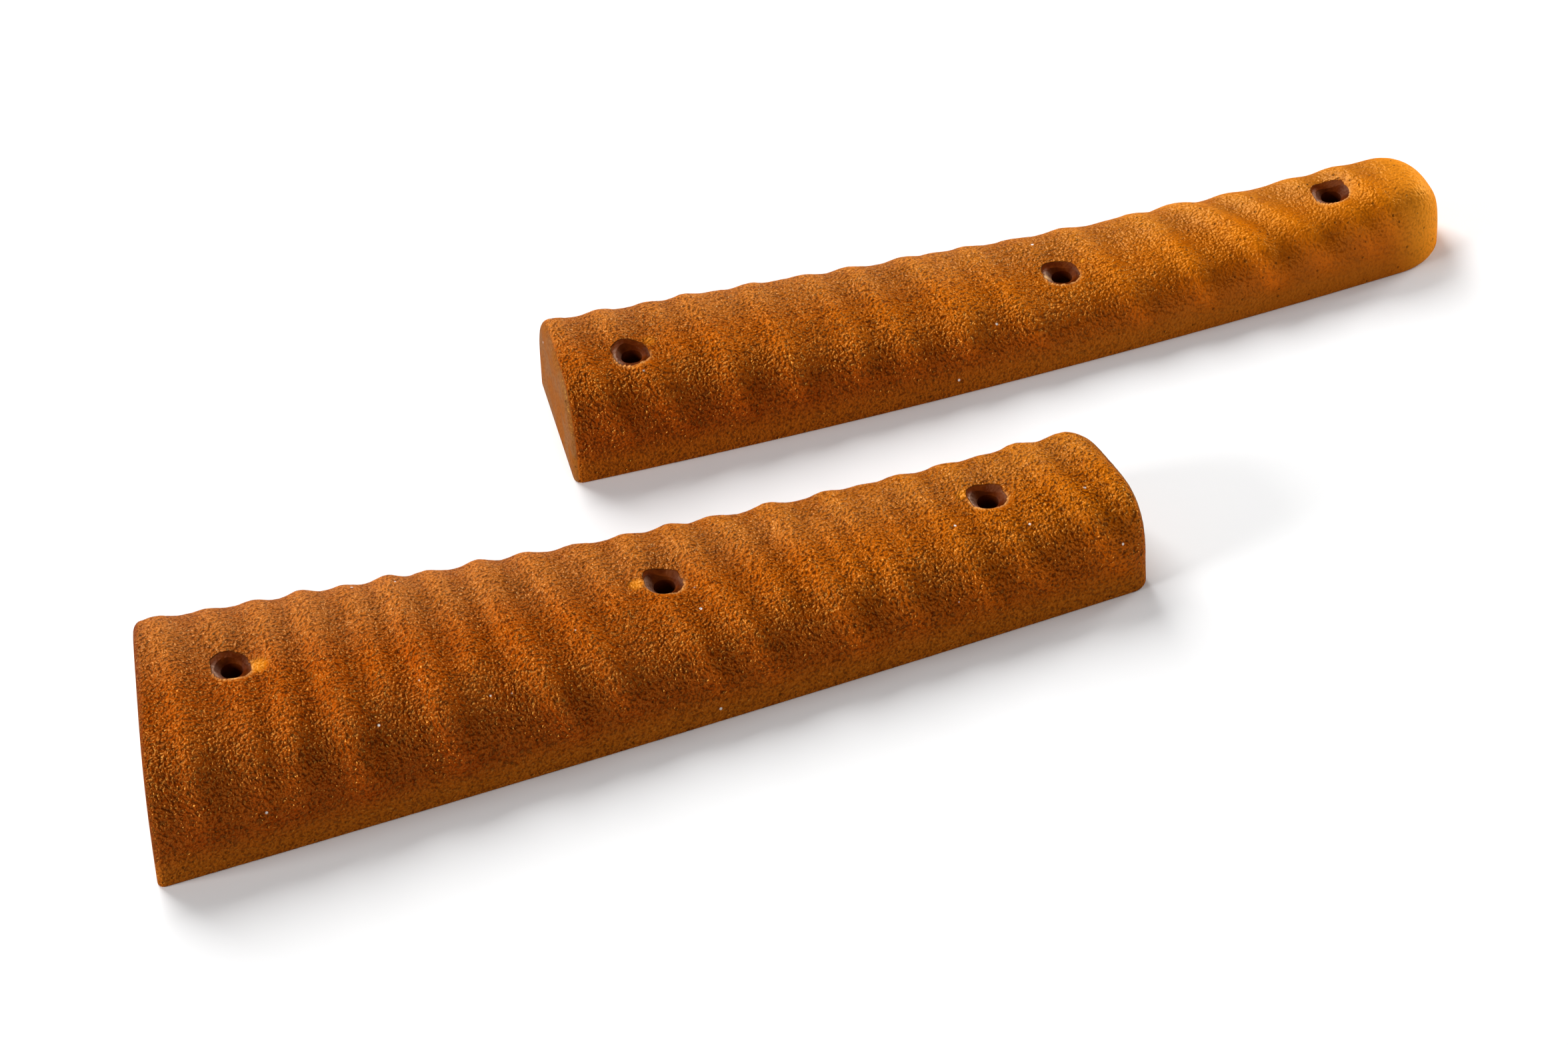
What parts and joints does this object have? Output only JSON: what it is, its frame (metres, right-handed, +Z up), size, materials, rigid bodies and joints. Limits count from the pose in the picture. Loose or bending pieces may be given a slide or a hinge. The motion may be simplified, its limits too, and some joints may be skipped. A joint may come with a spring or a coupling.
{
  "type": "climbing hold",
  "caption": "Rib-shaped climbing hold cast in sand-textured resin as loose sections that join end to end, with flat backs, countersunk screw holes and shallow cross ripples.",
  "frame": {"origin": "centre of the set's footprint, on the surface that both flat backs lie on", "axes": "+X along the wide section from its wide end to its narrow end, +Y from the wide section to the tip section beside it, +Z up out of the crowns"},
  "size_m": [0.4632, 0.1798, 0.0394],
  "materials": {
    "resin": "matte cast resin with a sand-like grip texture"
  },
  "bodies": {
    "wide": {"wide_section": "resin"},
    "tip": {"tip_section": "resin"}
  },
  "joints": [
    {"name": "tip_lift", "type": "slide", "parent": "wide", "child": "tip", "axis": [0, 0, 1], "range_m": [0, 0.08]}
  ]
}
